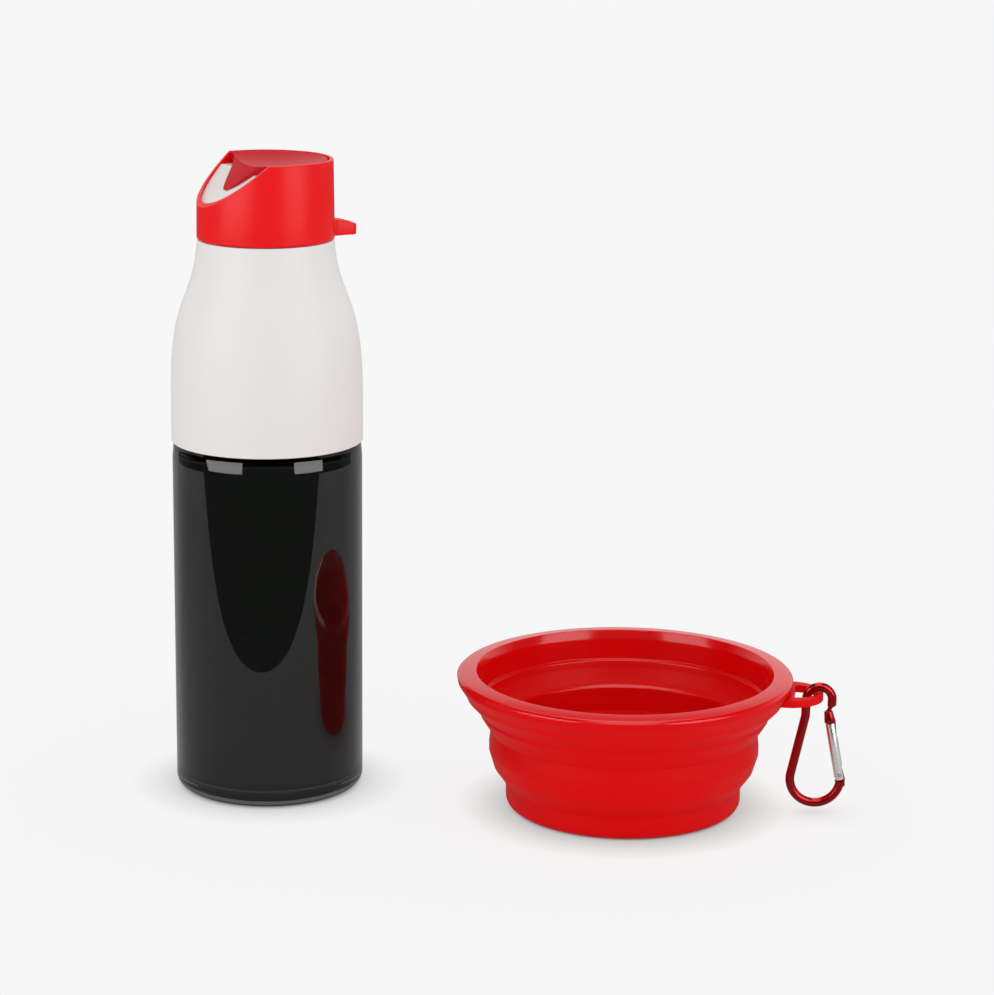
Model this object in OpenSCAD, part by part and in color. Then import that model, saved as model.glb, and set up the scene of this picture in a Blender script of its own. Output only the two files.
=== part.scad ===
// Travel water bottle for dogs, with its folding bowl and snap hook.
// Origin: centre of the bottle's base, on the floor. +Z is up, +X runs to the bowl.

/* [Vessel] */
// Outer radius of the smoked vessel
vessel_r = 36.3; // [34:0.1:38]
// Height at which the white shell meets the vessel
joint_z = 137; // [125:0.5:145]
// Wall of the vessel and of the shell
bottle_wall = 2.1; // [1.6:0.1:2.4]
// Rounding under the vessel
base_round = 7.3; // [5:0.1:9]
// Depth of the hollow under the vessel
push_up = 2; // [1:0.1:3]

/* [Shell] */
// Outer radius of the white shell
shell_r = 36.6; // [36.4:0.1:38.2]
// Height of the shell's upper edge, under the cap
shell_top_z = 214.6; // [213:0.1:214.8]
// Radius of the shell at that edge
shell_top_r = 25.9; // [25:0.1:26]

/* [Cap] */
// Radius of the cap at its lower edge
cap_r = 26.1; // [26:0.1:27]
// Radius of the cap at its top
cap_top_r = 25.7; // [25.5:0.1:26]
// Height of the cap's lower edge
cap_z = 214.9; // [214.8:0.1:215.4]
// Height of the cap
cap_h = 30.1; // [29:0.1:31]
// Turn of the cap's lug away from the row's X axis, in degrees
cap_yaw = 22; // [0:1:40]
// Slope of the mouth, in degrees from level
mouth_slope = 42.3; // [40:0.1:44]
// Distance from the cap's axis at which the mouth starts, at the top
mouth_start = 7.3; // [7:0.1:8]
// Radius of the pouring hole
pour_r = 5; // [4.5:0.1:5.2]
// Reach of the lug from the cap's axis
lug_reach = 35.3; // [34.5:0.1:37]
// Radius of the lug's eye
lug_eye_r = 2.4; // [2.2:0.1:2.6]

/* [Lid] */
// Distance from the cap's axis to the lid's axle
axle_x = 8; // [7:0.5:9]
// Height of the lid's axle
axle_z = 241.2; // [241:0.1:241.4]
// Depth of the thumb dish in the lid
dish_depth = 2.1; // [1.5:0.1:2.2]

/* [Bowl] */
// Distance of the bowl's axis from the bottle's, along X
bowl_x = 137.7; // [120:0.1:160]
// Distance of the bowl's axis from the bottle's, along Y
bowl_y = -24; // [-40:1:0]
// Outer radius of the bowl's foot
bowl_foot_r = 45.1; // [44:0.1:46]
// Outer radius of the bowl's lip
bowl_lip_r = 64.1; // [63:0.1:66]
// Wall of the bowl
bowl_wall = 2.4; // [2:0.1:2.6]
// Width of the bowl's folds, measured level
fold_wall = 1.7; // [1.4:0.1:1.8]
// Height of the bowl when it stands open
bowl_h = 52.9; // [52:0.1:54]
// Turn of the bowl's tab away from the row's X axis, in degrees
tab_yaw = -7; // [-12:1:0]
// Thickness of the tab
tab_t = 2.8; // [2:0.1:2.8]

/* [Snap hook] */
// Radius of the hook's wire
wire_r = 1.7; // [1.5:0.05:1.75]
// Radius of the small bend, at the wire's centre line
small_bend_r = 4.9; // [4.8:0.1:5.2]
// Radius of the large bend, at the wire's centre line
large_bend_r = 9.6; // [9.4:0.1:9.8]
// Distance between the centres of the two bends
bend_gap = 31.6; // [31:0.1:32]
// Lean of the hook from plumb, in degrees
hook_lean = 1.2; // [0:0.1:2]

/* [Hidden] */
$fn = 120;

// Screw between the vessel and the shell
neck_r = 33;
neck_top_z = joint_z + 13;
neck_bore_r = 30.6;
skirt_r = shell_r - bottle_wall;
body_pitch = 4;
body_turns = 1.5;
seal_t = 1.5;
seat_z = neck_top_z + seal_t;
seat_t = 2;

// Screw between the shell and the cap
mouth_r = 22.6;
mouth_bore_r = 20.4;
mouth_top_z = shell_top_z + 10.9;
cap_bore_r = 24.2;
cap_pitch = 3;
cap_turns = 1.5;
deck_z = mouth_top_z + seal_t;
deck_t = 2;

// Overlap that joins two solids drawn end to end, and the step left between them
weld = 0.05;
bar_r = wire_r - 0.02;

// Ridge of either screw: it is half a pitch below the ridge it runs under
ridge_h = 1.1;
ridge_foot = 1.3;
ridge_tip = 0.6;
ridge_sink = 0.3;

// Mouth, dish and lid
cap_top_z = cap_z + cap_h;
mouth_rise = tan(mouth_slope);
bed_gap = 1.1;
bed_sphere_r = 110;
bed_sag = 2.6;
bed_centre = 8;
bed_low_z = deck_z + deck_t;
insert_r = cap_bore_r - 0.05;
ledge_r = cap_bore_r - 1.1;
ledge_t = 1;
insert_top_z = 240.4;
lid_r = 23.55;
lid_top_z = cap_top_z - 0.2;
lid_under_z = insert_top_z + 0.35;
lid_gap = 0.3;
lid_chamfer = 0.4;
dish_r = 22.6;
dish_sphere_r = (dish_r * dish_r + dish_depth * dish_depth) / (2 * dish_depth);
axle_r = 1;
axle_half = 18.5;
boss_r = 2.2;
ear_y = 16.2;
ear_t = 2.2;
ear_r = 1.7;
ear_half_w = 1.3;
ear_gap = 0.4;
block_x = -1;
plug_x = -10.2;
plug_z = 234.8;
plug_lean = atan((axle_z - plug_z) / (axle_x - plug_x));
plug_reach = norm([axle_x - plug_x, axle_z - plug_z]);
plug_gap = 0.1;
plug_top_z = 239.8;
tongue_tip = 16.5;
tongue_side = 7.8;
tongue_drop = 0.5;

// Vent in the deck
vent_x = 13;
vent_r = 3.4;
vent_t = 0.7;
vent_stem_r = 1.1;
vent_bulb_r = 1.7;
vent_hole_r = 0.6;

// Lug
lug_eye_x = lug_reach - 4.4;
lug_round = 4.4;
lug_root_h = 6.4;
lug_end_h = 4.1;

// Bowl: outer profile, from the foot up
foot_round = 3.5;
foot_top_z = 8.4;
tier_foot_r = 49.9;
tier_foot_z = 15;
tier_r = 51.7;
tier_belly_z = 21.8;
tier_top_r = 51;
tier_top_z = 29.3;
rim_foot_r = 55.3;
rim_foot_z = 34.2;
rim_bead_z = 37;
rim_cone_r = 60.4;
rim_cone_z = 43;
lip_z = 50.3;
lip_round = 1.5;
lip_inner_r = 55.5;

// Tab of the bowl
tab_top_z = 47.7;
tab_u = 62.6;
tab_r = 13.1;
tab_hole_u = 65.6;
tab_hole_r = 7.9;

// Snap hook
pivot_x = 211.35;
pivot_y = bowl_y - 9.2;
pivot_z = 45;
kink_r = 8;
kink_y = -5.9;
kink_gap = norm([small_bend_r + kink_r, bend_gap + kink_y]);
leg_slant = asin((large_bend_r + kink_r) / kink_gap)
            - atan2(small_bend_r + kink_r, bend_gap + kink_y);
leg_len = sqrt(kink_gap * kink_gap - pow(large_bend_r + kink_r, 2));
wire_end_y = -2;
notch_r = 0.85;
nose_s = 21.1;
nose_len = 4.5;
nose_r = 2.2;
gate_slant = 12;
gate_line_r = large_bend_r - 0.4;
gate_s = 0.2;
gate_low = -1.96;
gate_top = 20.65;
gate_r = 1.9;
gate_bore_r = 1.5;
gate_swing_r = norm([gate_r, gate_low]) + 0.1;
slot_w = 2.3;
tongue_w = 2;
low_slot_top = 3.5;
nose_slot_low = 14.9;
rivet_r = 0.5;
rivet_gap = 0.05;
nose_pin_r = 0.45;
nose_pin_s = 18;

// A point a share t of the way along a cubic curve
function curve_point(p, t) =
    pow(1 - t, 3) * p[0] + 3 * pow(1 - t, 2) * t * p[1]
    + 3 * (1 - t) * t * t * p[2] + pow(t, 3) * p[3];

// Points of an arc about c, from angle a to angle b
function arc(c, r, a, b, n = 8) =
    [for (i = [0:n]) c + r * [cos(a + (b - a) * i / n), sin(a + (b - a) * i / n)]];

// Outline of the shell's shoulder, moved in by inset
function shoulder(inset) = [for (i = [0:14])
    curve_point([[shell_r - inset, joint_z + 17.5], [shell_r - inset, joint_z + 58],
                 [27.8 - inset, joint_z + 52.5], [shell_top_r - inset, shell_top_z]],
                i / 14)];

// Helical ridge: the profile is r_in to r_out, and w_in and w_out are its widths there
module ridge(r_in, r_out, w_in, w_out, pitch, turns, z, from) {
    steps = round(36 * turns);
    section = [[r_in, -w_in / 2], [r_out, -w_out / 2], [r_out, w_out / 2], [r_in, w_in / 2]];
    pts = [for (i = [0:steps]) for (p = section)
        let (a = from + 360 * turns * i / steps)
        [p[0] * cos(a), p[0] * sin(a), z + pitch * turns * i / steps + p[1]]];
    walls = [for (i = [0:steps - 1]) for (j = [0:3])
        let (k = (j + 1) % 4, a = 4 * i)
        each [[a + j, a + k, a + 4 + k], [a + j, a + 4 + k, a + 4 + j]]];
    ends = [[3, 2, 1], [3, 1, 0], [4 * steps, 4 * steps + 1, 4 * steps + 2],
            [4 * steps, 4 * steps + 2, 4 * steps + 3]];
    polyhedron(pts, concat(walls, ends), convexity = 6);
}

// Ridge that stands out from a neck
module neck_ridge(r, pitch, turns, z) {
    ridge(r - ridge_sink, r + ridge_h, ridge_foot, ridge_tip, pitch, turns, z, 0);
}

// Ridge that stands in from a bore, half a pitch under the neck's own
module bore_ridge(r, pitch, z) {
    ridge(r - ridge_h, r + ridge_sink, ridge_tip, ridge_foot, pitch, 1, z, 30);
}

// Smoked vessel, open at its threaded neck
module bottle_lower() {
    inner_r = vessel_r - bottle_wall;
    floor_z = push_up + bottle_wall;
    color("#1c1f1c") {
        rotate_extrude()
            polygon(concat(
                [[0, push_up], [vessel_r - base_round - 3, push_up],
                 [vessel_r - base_round - 1.6, 0]],
                arc([vessel_r - base_round, base_round], base_round, 270, 360),
                [[vessel_r, joint_z], [neck_r, joint_z], [neck_r, neck_top_z],
                 [neck_bore_r, neck_top_z], [neck_bore_r, joint_z]],
                arc([inner_r - 6, joint_z - 7], 6, 60, 0),
                arc([inner_r - 5, floor_z + 5], 5, 360, 270),
                [[0, floor_z]]));
        neck_ridge(neck_r, body_pitch, body_turns, joint_z + 3.5);
    }
}

// Flat ring between the vessel's neck and the shell's seat
module middle_seal() {
    color("#e8e8e4") translate([0, 0, neck_top_z]) difference() {
        cylinder(r = neck_r, h = seal_t);
        translate([0, 0, -1]) cylinder(r = neck_bore_r + 0.2, h = seal_t + 2);
    }
}

// White shell: skirt, seat, shoulder and the neck under the cap
module bottle_upper() {
    inner = shoulder(bottle_wall);
    last = len(inner) - 1;
    color("#e4e3e1") {
        rotate_extrude()
            polygon(concat(
                [[skirt_r, joint_z + 0.2], [shell_r - 0.3, joint_z + 0.2],
                 [shell_r, joint_z + 0.5]],
                shoulder(0),
                [[mouth_r, shell_top_z], [mouth_r, mouth_top_z],
                 [mouth_bore_r, mouth_top_z], [mouth_bore_r, shell_top_z]],
                [for (i = [last - 1:-1:2]) inner[i]],
                [[inner[2][0], seat_z + seat_t + 1], [neck_bore_r + 0.4, seat_z + seat_t],
                 [neck_bore_r + 0.4, seat_z], [skirt_r, seat_z]]));
        neck_ridge(mouth_r, cap_pitch, cap_turns, shell_top_z + 3.1);
        bore_ridge(skirt_r, body_pitch, joint_z + 1.5 + body_pitch * 30 / 360);
    }
}

// Flat ring between the shell's neck and the cap's insert
module cap_seal() {
    color("#e8e8e4") translate([0, 0, mouth_top_z]) difference() {
        cylinder(r = mouth_r, h = seal_t);
        translate([0, 0, -1]) cylinder(r = mouth_bore_r + 0.2, h = seal_t + 2);
    }
}

// Everything in the cap is drawn with the lug along X and then turned to its place
module in_cap() {
    rotate([0, 0, cap_yaw]) children();
}

// All that lies over the mouth's slope, lowered by drop
module over_slope(drop = 0) {
    translate([-mouth_start, 0, cap_top_z - drop])
        rotate([0, -mouth_slope, 0])
            translate([-60, -40, 0]) cube([120, 80, 60]);
}

// All that lies over the white bed: the slope, sunk by a shallow round hollow
module over_bed(gap = 0) {
    over_slope(bed_gap - gap);
    translate([-bed_centre, 0, cap_top_z - bed_gap + gap + (mouth_start - bed_centre) * mouth_rise])
        rotate([0, -mouth_slope, 0])
            translate([0, 0, bed_sphere_r - bed_sag])
                sphere(r = bed_sphere_r, $fn = 180);
}

// Cap: turned wall with its mouth cut away, inner screw and carabiner lug
module cap_body() {
    color("#e81c22") in_cap() difference() {
        union() {
            rotate_extrude()
                polygon(concat(
                    [[cap_bore_r, cap_z + 0.4], [cap_bore_r + 0.4, cap_z]],
                    arc([cap_r - 0.9, cap_z + 0.9], 0.9, 270, 360, 5),
                    arc([cap_top_r - 0.6, cap_top_z - 0.6], 0.6, 0, 90, 5),
                    [[cap_bore_r, cap_top_z], [cap_bore_r, deck_z], [ledge_r, deck_z],
                     [ledge_r, deck_z - ledge_t],
                     [cap_bore_r, deck_z - ledge_t - cap_bore_r + ledge_r]]));
            bore_ridge(cap_bore_r, cap_pitch, shell_top_z + 1.6 + cap_pitch * 30 / 360);
            lug();
        }
        over_slope();
        translate([lug_eye_x, 0, cap_z - 1]) cylinder(r = lug_eye_r, h = 20, $fn = 48);
    }
}

// Lug: a flat loop that thins towards its end
module lug() {
    root_x = cap_bore_r + 0.9;
    top_slope = atan((lug_root_h - lug_end_h) / (lug_reach - cap_r));
    difference() {
        translate([0, 0, cap_z]) linear_extrude(lug_root_h + 1) {
            translate([lug_eye_x, 0]) circle(r = lug_round, $fn = 64);
            polygon([[root_x, -6], [cap_r + 1, -5.2], [lug_eye_x, -lug_round],
                     [lug_eye_x, lug_round], [cap_r + 1, 5.2], [root_x, 6]]);
        }
        translate([cap_r, 0, cap_z + lug_root_h]) rotate([0, top_slope, 0])
            translate([-10, -10, 0]) cube([30, 20, 10]);
        translate([0, 0, cap_z - 1]) cylinder(r = cap_bore_r + 0.5, h = 20);
    }
}

// Round bar along the pouring hole, from low to high about the plug's centre
module pour_bore(r, low, high) {
    translate([plug_x, 0, plug_z]) rotate([0, -plug_lean, 0])
        translate([0, 0, low]) cylinder(r = r, h = high - low, $fn = 64);
}

// Path of the plug as the lid tilts
module plug_path(r) {
    sweep = 40;
    translate([axle_x, 0, axle_z]) rotate([90, 0, 0]) rotate([0, 0, 180 + plug_lean - sweep])
        rotate_extrude(angle = sweep) translate([plug_reach, 0]) circle(r = r, $fn = 64);
}

// White insert: deck, sloping bed, pouring tube and the ears that hold the axle
module spout_insert() {
    color("#dcd9d6") in_cap() difference() {
        union() {
            translate([0, 0, deck_z]) cylinder(r = insert_r, h = deck_t);
            difference() {
                translate([0, 0, deck_z]) cylinder(r = insert_r, h = insert_top_z - deck_z);
                translate([block_x, -40, bed_low_z]) cube([80, 80, 40]);
                over_bed();
            }
            for (side = [-1, 1]) ear(side);
        }
        bed_core();
        pour_bore(pour_r - weld, -20, 10 * weld);
        plug_path(pour_r);
        translate([vent_x, 0, 0]) vent_holes();
        axle_line(axle_r);
    }
}

// Holes in the deck for the vent: the valve's own and two for the air
module vent_holes() {
    translate([0, 0, deck_z - 1]) {
        cylinder(r = vent_stem_r, h = deck_t + 2, $fn = 32);
        for (side = [-1, 1])
            translate([0, side * (vent_r + vent_stem_r) / 2, 0])
                cylinder(r = vent_hole_r, h = deck_t + 2, $fn = 32);
    }
}

// Soft vent: a disc that shuts the air holes from below, held by its bulb
module vent_valve() {
    color("#e8e8e4") in_cap() translate([vent_x, 0, deck_z]) {
        translate([0, 0, -vent_t]) cylinder(r = vent_r, h = vent_t, $fn = 48);
        cylinder(r = vent_stem_r, h = deck_t, $fn = 32);
        translate([0, 0, deck_t]) cylinder(r1 = vent_bulb_r, r2 = vent_stem_r, h = 1.8, $fn = 32);
    }
}

// Hollow under the bed, open to the bottle: it leaves a plate and the pouring tube
module bed_core() {
    plate = 2;
    difference() {
        translate([0, 0, deck_z - 1]) intersection() {
            cylinder(r = mouth_bore_r, h = 12);
            translate([-40, -20, 0]) cube([40 - 6, 40, 12]);
        }
        translate([0, 0, -plate / cos(mouth_slope)]) over_bed();
        pour_bore(pour_r + 1.5, -20, 20);
    }
}

// Ear for the axle, on the deck
module ear(side) {
    translate([axle_x, side * ear_y, 0]) {
        translate([-ear_half_w, -ear_t / 2, deck_z])
            cube([2 * ear_half_w, ear_t, axle_z - deck_z]);
        translate([0, ear_t / 2, axle_z]) rotate([90, 0, 0])
            cylinder(r = ear_r, h = ear_t, $fn = 48);
    }
}

// Cylinder along the axle's line
module axle_line(r, half = 30) {
    translate([axle_x, half, axle_z]) rotate([90, 0, 0])
        cylinder(r = r, h = 2 * half, $fn = 48);
}

// Steel axle, pressed into the ears
module lid_axle() {
    color("#b9bcc0") in_cap() axle_line(axle_r, axle_half);
}

// Plan of the lid's tongue and of all that lies behind it
module lid_plan() {
    translate([-tongue_side, -40]) square([80, 80]);
    difference() {
        translate([-tongue_tip, -tongue_side * 3]) square([40, tongue_side * 6]);
        for (side = [0, 1]) mirror([0, side]) tongue_flank();
    }
}

// What is cut away beside the tongue
module tongue_flank() {
    polygon(concat(
        [for (i = [0:10]) curve_point([[-tongue_side, 20], [-tongue_side - 0.4, 11],
                                       [-tongue_tip + 1, 7], [-tongue_tip, 0]], i / 10)],
        [[-40, 0], [-40, 40], [-tongue_side, 40]]));
}

// Red lid: dished top, tongue, and the boss that turns on the axle
module flip_lid() {
    color("#d6262c") in_cap() difference() {
        union() {
            difference() {
                intersection() {
                    translate([0, 0, deck_z]) linear_extrude(lid_top_z - deck_z) lid_plan();
                    rotate_extrude()
                        polygon([[0, deck_z], [lid_r, deck_z], [lid_r, lid_top_z - lid_chamfer],
                                 [lid_r - lid_chamfer, lid_top_z], [0, lid_top_z]]);
                }
                translate([0, 0, lid_top_z + dish_sphere_r - dish_depth])
                    sphere(r = dish_sphere_r, $fn = 180);
                over_slope(tongue_drop);
                under_lid();
            }
            intersection() {
                axle_line(boss_r, ear_y - ear_t / 2 - ear_gap);
                translate([-20, -20, axle_z - 5]) cube([60, 40, 5]);
            }
        }
        for (side = [-1, 1])
            translate([axle_x, side * ear_y + ear_t / 2 + ear_gap, axle_z]) rotate([90, 0, 0])
                cylinder(r = ear_r + ear_gap, h = ear_t + 2 * ear_gap, $fn = 48);
        axle_line(axle_r + 0.05);
    }
}

// All that lies under the lid: up to the insert's top, and up to the bed
module under_lid() {
    difference() {
        translate([-40, -40, deck_z - 1]) cube([80, 80, lid_under_z - deck_z + 1]);
        intersection() {
            over_bed(lid_gap);
            translate([-40, -40, 0]) cube([40 - bed_centre, 80, 400]);
        }
    }
}

// Soft plug under the lid: a dome on a stem
module lid_plug() {
    color("#e8e8e4") in_cap() intersection() {
        union() {
            translate([plug_x, 0, plug_z]) sphere(r = pour_r - plug_gap, $fn = 64);
            pour_bore(0.8 * pour_r, 0, 12);
        }
        under_lid();
        translate([-40, -40, 0]) cube([80, 80, plug_top_z]);
    }
}

// Places a piece of the bowl about the bowl's own axis
module in_bowl() {
    translate([bowl_x, bowl_y, 0]) children();
}

// Foot of the bowl: floor and lowest wall
module bowl_base() {
    inner_r = bowl_foot_r - bowl_wall;
    color("#d41216") in_bowl() rotate_extrude()
        polygon(concat(
            [[0, 0.8], [36, 0.8], [37, 0]],
            arc([bowl_foot_r - foot_round, foot_round], foot_round, 270, 360, 6),
            [[bowl_foot_r, foot_top_z], [inner_r, foot_top_z]],
            arc([inner_r - 3, 6.2], 3, 360, 270, 5),
            [[0, 3.2]]));
}

// Thin cone that joins two walls of the bowl
module fold(low_r, low_z, high_r, high_z) {
    in_bowl() rotate_extrude()
        polygon([[low_r - fold_wall, low_z], [low_r, low_z],
                 [high_r, high_z], [high_r - fold_wall, high_z]]);
}

// Lower fold, between the foot and the middle wall
module fold_lower() {
    color("#d41216") fold(bowl_foot_r, foot_top_z, tier_foot_r, tier_foot_z);
}

// Middle wall of the bowl
module bowl_tier() {
    color("#d41216") in_bowl() rotate_extrude()
        polygon([[tier_foot_r - bowl_wall, tier_foot_z], [tier_foot_r, tier_foot_z],
                 [tier_foot_r + 0.5, tier_foot_z + 2.6], [tier_r, tier_belly_z],
                 [tier_r, tier_belly_z + 3], [tier_top_r, tier_top_z],
                 [tier_top_r - bowl_wall, tier_top_z],
                 [tier_r - bowl_wall, tier_belly_z]]);
}

// Upper fold, between the middle wall and the rim
module fold_upper() {
    color("#d41216") fold(tier_top_r, tier_top_z, rim_foot_r, rim_foot_z);
}

// Rim of the bowl: wedge-shaped wall, broad lip and the tab
module bowl_rim() {
    color("#c40d12") in_bowl() {
        rotate_extrude()
            polygon(concat(
                [[rim_foot_r - bowl_wall, rim_foot_z], [rim_foot_r, rim_foot_z],
                 [rim_foot_r, rim_bead_z], [rim_cone_r, rim_cone_z],
                 [bowl_lip_r - 0.6, lip_z - 1.6]],
                arc([bowl_lip_r - lip_round, lip_z], lip_round, 0, 70, 5),
                [[59.5, bowl_h]],
                arc([lip_inner_r + 0.9, bowl_h - 1.3], 0.9, 90, 180, 4),
                [[lip_inner_r - 0.8, rim_cone_z], [rim_foot_r - 1.9, rim_bead_z + 2]]));
        tab();
    }
}

// Round tab beside the lip, with a wide hole cut off straight near the lip
module tab() {
    rotate([0, 0, tab_yaw]) translate([0, 0, tab_top_z - tab_t]) linear_extrude(tab_t)
        difference() {
            intersection() {
                translate([tab_u, 0]) circle(r = tab_r);
                translate([rim_cone_r - 1.5, -20]) square([40, 40]);
            }
            intersection() {
                translate([tab_hole_u, 0]) circle(r = tab_hole_r, $fn = 96);
                translate([bowl_lip_r + 0.8, -20]) square([40, 40]);
            }
        }
}

// Snap hook frame: x runs across it and y runs up, from the centre of its small bend
module in_hook() {
    translate([pivot_x, pivot_y, pivot_z]) rotate([90, hook_lean, 0]) children();
}

// Places a piece along the gate's side: x is outwards, y is up from the gate's pivot
module on_gate_side() {
    translate([0, -bend_gap]) rotate([0, 0, gate_slant])
        translate([gate_line_r, gate_s]) children();
}

// Part of a ring of wire, from angle a to angle b
module bend(r, a, b) {
    rotate([0, 0, a]) rotate_extrude(angle = b - a)
        translate([r, 0]) circle(r = wire_r, $fn = 40);
}

// Straight piece of round bar along y
module bar(r, from, to) {
    translate([0, from, 0]) rotate([-90, 0, 0]) cylinder(r = r, h = to - from, $fn = 40);
}

// Round bar along y, tapered from radius r1 to radius r2
module cone(r1, r2, from, to) {
    translate([0, from, 0]) rotate([-90, 0, 0])
        cylinder(r1 = r1, r2 = r2, h = to - from, $fn = 40);
}

// The wire from the small bend round to the collar below the gate
module hook_wire() {
    bend(small_bend_r, 0, 180);
    translate([-small_bend_r, 0]) bar(bar_r, kink_y - weld, weld);
    translate([-small_bend_r - kink_r, kink_y]) bend(kink_r, -leg_slant, 0);
    translate([0, -bend_gap]) bend(large_bend_r, 180 - leg_slant, 360 + gate_slant - 15.5);
    mirror([1, 0, 0]) translate([0, -bend_gap]) rotate([0, 0, leg_slant])
        translate([large_bend_r, 0]) bar(bar_r, -weld, leg_len + weld);
    on_gate_side() cone(1.62, 2, -4.9, -2);
}

// The nose: the wire is notched to a neck, then swells to the gate's width
module hook_nose() {
    translate([small_bend_r, 0]) {
        bar(bar_r, wire_end_y, weld);
        translate([0, wire_end_y + 0.3]) rotate([0, 0, -27]) {
            cone(notch_r - 0.02, bar_r - 0.04, -1.7, 0);
            bar(notch_r, -3.6, -1.6);
        }
    }
    on_gate_side() cone(nose_r, 1.58, nose_s, nose_s + nose_len);
}

// Flats of the frame that fill the gate's slots: x is outwards from the gate's axis
module hook_tongues() {
    translate([0, 0, -tongue_w / 2]) linear_extrude(tongue_w) {
        circle(r = 1, $fn = 40);
        polygon([[-1.3, -3.3], [1.7, -3.3], [2, -2.1], [1.5, 3.2],
                 [0.9, 3.2], [-0.6, 0.5], [-0.6, -1.3], [-1.3, -2]]);
        polygon([[-0.95, 15.2], [1.5, 15.2], [2.05, nose_s + 0.1],
                 [1.6, nose_s + 1], [-0.95, nose_s + 1]]);
    }
}

// Hook frame: one bent wire, flattened where the gate turns and where it shuts
module hook_frame() {
    color("#8e0a10") in_hook() difference() {
        union() {
            difference() {
                union() {
                    hook_wire();
                    hook_nose();
                }
                on_gate_side() translate([0, 0, -5]) cylinder(r = gate_swing_r, h = 10, $fn = 64);
            }
            on_gate_side() hook_tongues();
        }
        on_gate_side() {
            translate([0, 0, -5]) cylinder(r = rivet_r, h = 10, $fn = 32);
            translate([-5, nose_pin_s - nose_pin_r - 0.2, -5])
                cube([5 + nose_pin_r + 0.15, 2 * nose_pin_r + 0.4, 10]);
        }
    }
}

// Rivet that the gate turns on, headed at both ends
module gate_rivet() {
    color("#b9bcc0") in_hook() on_gate_side() {
        translate([0, 0, -gate_r - 0.15]) cylinder(r = rivet_r, h = 2 * gate_r + 0.3, $fn = 32);
        for (side = [-1, 1])
            translate([0, 0, side * (gate_r + 0.2) - 0.15])
                cylinder(r = 0.8, h = 0.3, $fn = 32);
    }
}

// Gate: a tube, slotted towards the outside at both ends to take the frame's flats
module hook_gate() {
    color("#c9ccd0") in_hook() on_gate_side() difference() {
        bar(gate_r, gate_low, gate_top);
        bar(gate_bore_r, gate_low - 1, gate_top + 1);
        translate([0, gate_low - 1, -slot_w / 2])
            cube([3, low_slot_top - gate_low + 1, slot_w]);
        translate([-3, gate_low - 1, -slot_w / 2]) cube([4, 2, slot_w]);
        translate([0, nose_slot_low, -slot_w / 2])
            cube([3, gate_top - nose_slot_low + 1, slot_w]);
        translate([0, 0, -5]) cylinder(r = rivet_r + rivet_gap, h = 10, $fn = 32);
        translate([0, nose_pin_s, -5]) cylinder(r = nose_pin_r, h = 10, $fn = 32);
    }
}

// Cross pin at the gate's free end, which drops into the nose's notch
module gate_nose_pin() {
    color("#b9bcc0") in_hook() on_gate_side()
        translate([0, nose_pin_s, -gate_r + 0.1])
            cylinder(r = nose_pin_r, h = 2 * gate_r - 0.2, $fn = 32);
}

// Spring wire inside the gate
module gate_spring() {
    color("#8f9398") in_hook() on_gate_side() translate([-1.1, 0]) bar(0.35, 3.8, 14.4);
}

bottle_lower();
middle_seal();
bottle_upper();
cap_seal();
cap_body();
spout_insert();
vent_valve();
lid_axle();
flip_lid();
lid_plug();
bowl_base();
fold_lower();
bowl_tier();
fold_upper();
bowl_rim();
hook_frame();
gate_rivet();
hook_gate();
gate_nose_pin();
gate_spring();
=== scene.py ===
import math

import bmesh
import bpy
from bpy.props import FloatProperty, FloatVectorProperty, PointerProperty
from mathutils import Matrix, Vector


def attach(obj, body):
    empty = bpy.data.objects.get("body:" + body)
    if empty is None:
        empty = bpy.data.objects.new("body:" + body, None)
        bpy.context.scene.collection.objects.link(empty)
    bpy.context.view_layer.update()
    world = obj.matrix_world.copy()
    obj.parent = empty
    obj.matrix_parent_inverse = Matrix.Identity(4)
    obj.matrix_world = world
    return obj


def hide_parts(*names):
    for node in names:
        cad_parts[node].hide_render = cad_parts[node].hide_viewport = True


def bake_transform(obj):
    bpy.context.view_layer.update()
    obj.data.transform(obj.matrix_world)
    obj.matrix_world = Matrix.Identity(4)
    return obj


bl_info = {
    "name": "Dog Travel Bottle",
    "version": (1, 0, 0),
    "blender": (4, 5, 0),
    "location": "View3D > Sidebar > Bottle",
    "description": "Builds a travel water bottle with its folding bowl and snap hook",
    "category": "Object",
}

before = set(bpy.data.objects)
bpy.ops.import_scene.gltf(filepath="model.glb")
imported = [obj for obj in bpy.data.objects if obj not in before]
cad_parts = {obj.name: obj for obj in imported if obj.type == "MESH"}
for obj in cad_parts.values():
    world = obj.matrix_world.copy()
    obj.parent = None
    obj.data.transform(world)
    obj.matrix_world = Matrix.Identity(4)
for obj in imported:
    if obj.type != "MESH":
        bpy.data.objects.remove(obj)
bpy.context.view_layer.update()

MM = 0.001
STEPS = 112
TURN = 2 * math.pi
BOWL = Vector((137.7, -24, 0)) * MM
HOOK_PIVOT = Vector((211.35, -33.2, 45)) * MM

CAMERA_SPOT = Vector((88.2, -1200, 402.8)) * MM
CAMERA_PITCH, CAMERA_ROLL = math.radians(13.5), math.radians(0.52)
CAMERA_LENS, CAMERA_SENSOR = 116.0, 36
FLOOR_CENTRE = (0.08, 0.558, -0.0002)
FLOOR_TURN = math.radians(-5)
FLOOR_SIZE = (1.4, 1.5)
LAMP_DISTANCE, LAMP_MIDDLE, LAMP_HEIGHT, LAMP_RADIANCE = 0.8, 0.5, 0.9, 3.5


# ---------------------------------------------------------------- settings

def linear(text):
    """The linear colour of an sRGB hex value."""
    parts = [int(text[i:i + 2], 16) / 255 for i in (0, 2, 4)]
    return [p / 12.92 if p < 0.04045 else ((p + 0.055) / 1.055) ** 2.4 for p in parts]


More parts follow.
